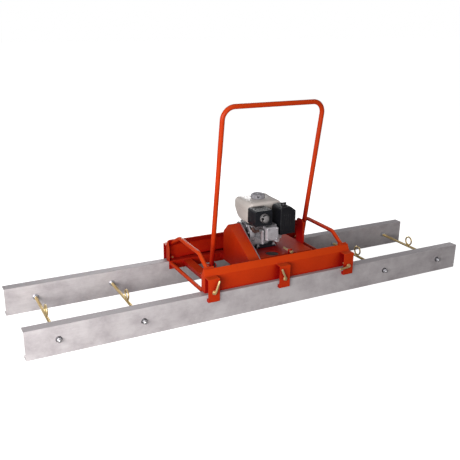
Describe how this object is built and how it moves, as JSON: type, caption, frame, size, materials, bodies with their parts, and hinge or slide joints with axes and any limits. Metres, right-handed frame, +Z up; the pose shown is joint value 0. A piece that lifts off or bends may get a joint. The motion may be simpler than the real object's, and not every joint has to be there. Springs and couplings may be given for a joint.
{
  "type": "power screed",
  "caption": "Twin-beam concrete screed: two long aluminium channel beams with a clamped steel carriage, a petrol engine, a belt drive to an eccentric shaft and a tilting hoop handle.",
  "frame": {"origin": "on the ground, below the middle of the two beams", "axes": "+X along the beams, +Y away from the operator's side, +Z up"},
  "size_m": [3.048, 0.7616, 1.2501],
  "materials": {
    "black_paint": "matt",
    "black_plastic": "grained",
    "black_rubber": "matt",
    "cast_aluminium": "as cast",
    "cast_iron": "as cast",
    "cream_paint": "gloss",
    "dark_steel": "ground",
    "gold_zinc": "yellow zinc plated",
    "grey_plastic": "ribbed",
    "mill_aluminium": "mill finish",
    "orange_paint": "semi-gloss",
    "zinc_steel": "plated"
  },
  "bodies": {
    "frame": {"air_cleaner_base": "black_plastic", "air_cleaner_cover": "black_plastic", "bearing_blocks": "cast_iron", "belt_guard": "orange_paint", "belt_tension_bolt": "gold_zinc", "blower_housing": "black_paint", "carburettor": "cast_aluminium", "clamp_brackets": "orange_paint", "crankcase": "cast_aluminium", "cylinder": "cast_aluminium", "drive_belt": "black_rubber", "end_tubes": "orange_paint", "engine_deck": "orange_paint", "engine_upright": "orange_paint", "exciter_base": "orange_paint", "front_beam": "mill_aluminium", "front_rail": "orange_paint", "fuel_tank": "cream_paint", "guard_back_plate": "zinc_steel", "handle_brackets": "orange_paint", "handle_bushes": "black_rubber", "handle_pivot_bolts": "zinc_steel", "inner_crossmembers": "orange_paint", "left_arch_bar": "orange_paint", "left_crossmember": "orange_paint", "muffler": "dark_steel", "muffler_guard": "black_paint", "rear_beam": "mill_aluminium", "rear_rail": "orange_paint", "recoil_cover": "black_paint", "right_arch_bar": "orange_paint", "right_crossmember": "orange_paint", "rocker_cover": "cast_aluminium", "spark_plug": "black_rubber", "tie_rod_1": "gold_zinc", "tie_rod_2": "gold_zinc", "tie_rod_3": "gold_zinc", "tie_rod_4": "gold_zinc", "tie_rod_nuts": "gold_zinc"},
    "handle": {"handle_hoop": "orange_paint"},
    "crank": {"crankshaft": "dark_steel", "flywheel": "cast_iron", "drive_pulley": "dark_steel"},
    "exciter": {"exciter_shaft": "dark_steel", "driven_pulley": "dark_steel", "eccentric_weights": "cast_iron"},
    "filler_cap": {"fuel_cap": "grey_plastic"},
    "wing_nut": {"air_cleaner_nut": "dark_steel"},
    "choke": {"choke_lever": "black_plastic"},
    "fuel_tap": {"fuel_lever": "black_plastic"},
    "throttle": {"throttle_lever": "black_plastic"},
    "stop_switch": {"engine_switch": "black_plastic"},
    "starter_grip": {"recoil_grip": "black_plastic"},
    "dipstick": {"oil_dipstick": "black_plastic"},
    "clamp_screw_1": {"clamp_bolt_1": "gold_zinc"},
    "clamp_screw_2": {"clamp_bolt_2": "gold_zinc"},
    "clamp_screw_3": {"clamp_bolt_3": "gold_zinc"},
    "clamp_screw_4": {"clamp_bolt_4": "gold_zinc"},
    "clamp_screw_5": {"clamp_bolt_5": "gold_zinc"},
    "clamp_screw_6": {"clamp_bolt_6": "gold_zinc"}
  },
  "joints": [
    {"name": "handle_tilt", "type": "hinge", "parent": "frame", "child": "handle", "pos_m": [0.05, 0, 0.205], "axis": [1, 0, 0], "range_deg": [-68, 50]},
    {"name": "crank_spin", "type": "hinge", "parent": "frame", "child": "crank", "pos_m": [0, 0.06, 0.396], "axis": [1, 0, 0], "continuous": true},
    {"name": "exciter_spin", "type": "hinge", "parent": "frame", "child": "exciter", "pos_m": [0, -0.09, 0.222], "axis": [1, 0, 0], "continuous": true},
    {"name": "clamp_turn_1", "type": "hinge", "parent": "frame", "child": "clamp_screw_1", "pos_m": [-0.4365, -0.35, 0.19], "axis": [0, -1, 0], "range_deg": [-360, 90]},
    {"name": "clamp_turn_2", "type": "hinge", "parent": "frame", "child": "clamp_screw_2", "pos_m": [0.05, -0.35, 0.19], "axis": [0, -1, 0], "range_deg": [-360, 90]},
    {"name": "clamp_turn_3", "type": "hinge", "parent": "frame", "child": "clamp_screw_3", "pos_m": [0.5365, -0.35, 0.19], "axis": [0, -1, 0], "range_deg": [-360, 90]},
    {"name": "clamp_turn_4", "type": "hinge", "parent": "frame", "child": "clamp_screw_4", "pos_m": [-0.4365, 0.35, 0.19], "axis": [0, 1, 0], "range_deg": [-360, 90]},
    {"name": "clamp_turn_5", "type": "hinge", "parent": "frame", "child": "clamp_screw_5", "pos_m": [0.05, 0.35, 0.19], "axis": [0, 1, 0], "range_deg": [-360, 90]},
    {"name": "clamp_turn_6", "type": "hinge", "parent": "frame", "child": "clamp_screw_6", "pos_m": [0.5365, 0.35, 0.19], "axis": [0, 1, 0], "range_deg": [-360, 90]},
    {"name": "fuel_cap_turn", "type": "hinge", "parent": "frame", "child": "filler_cap", "pos_m": [0.092, 0.085, 0.592], "axis": [0, 0, 1], "range_deg": [0, 90]},
    {"name": "wing_nut_turn", "type": "hinge", "parent": "frame", "child": "wing_nut", "pos_m": [0.176, -0.1, 0.588], "axis": [0, 0, 1], "range_deg": [0, 1080]},
    {"name": "choke_turn", "type": "hinge", "parent": "frame", "child": "choke", "pos_m": [0.1623, -0.102, 0.388], "axis": [1, 0, 0], "range_deg": [-75, 0]},
    {"name": "fuel_tap_turn", "type": "hinge", "parent": "frame", "child": "fuel_tap", "pos_m": [0.1623, -0.078, 0.382], "axis": [1, 0, 0], "range_deg": [0, 90]},
    {"name": "throttle_turn", "type": "hinge", "parent": "frame", "child": "throttle", "pos_m": [0.192, -0.029, 0.456], "axis": [0, 1, 0], "range_deg": [-25, 15]},
    {"name": "stop_switch_turn", "type": "hinge", "parent": "frame", "child": "stop_switch", "pos_m": [0.185, -0.06, 0.381], "axis": [0, 1, 0], "range_deg": [0, 60]},
    {"name": "starter_pull", "type": "slide", "parent": "frame", "child": "starter_grip", "axis": [0, -1, 0], "range_m": [0, 0.45], "stiffness_N_per_m": 20, "springref_m": -0.1},
    {"name": "dipstick_turn", "type": "hinge", "parent": "frame", "child": "dipstick", "pos_m": [0.13, -0.03, 0.318], "axis": [0, -1, 0], "range_deg": [0, 720]}
  ],
  "couplings": [
    {"joint": "exciter_spin", "follows": "crank_spin", "ratio": 1}
  ]
}
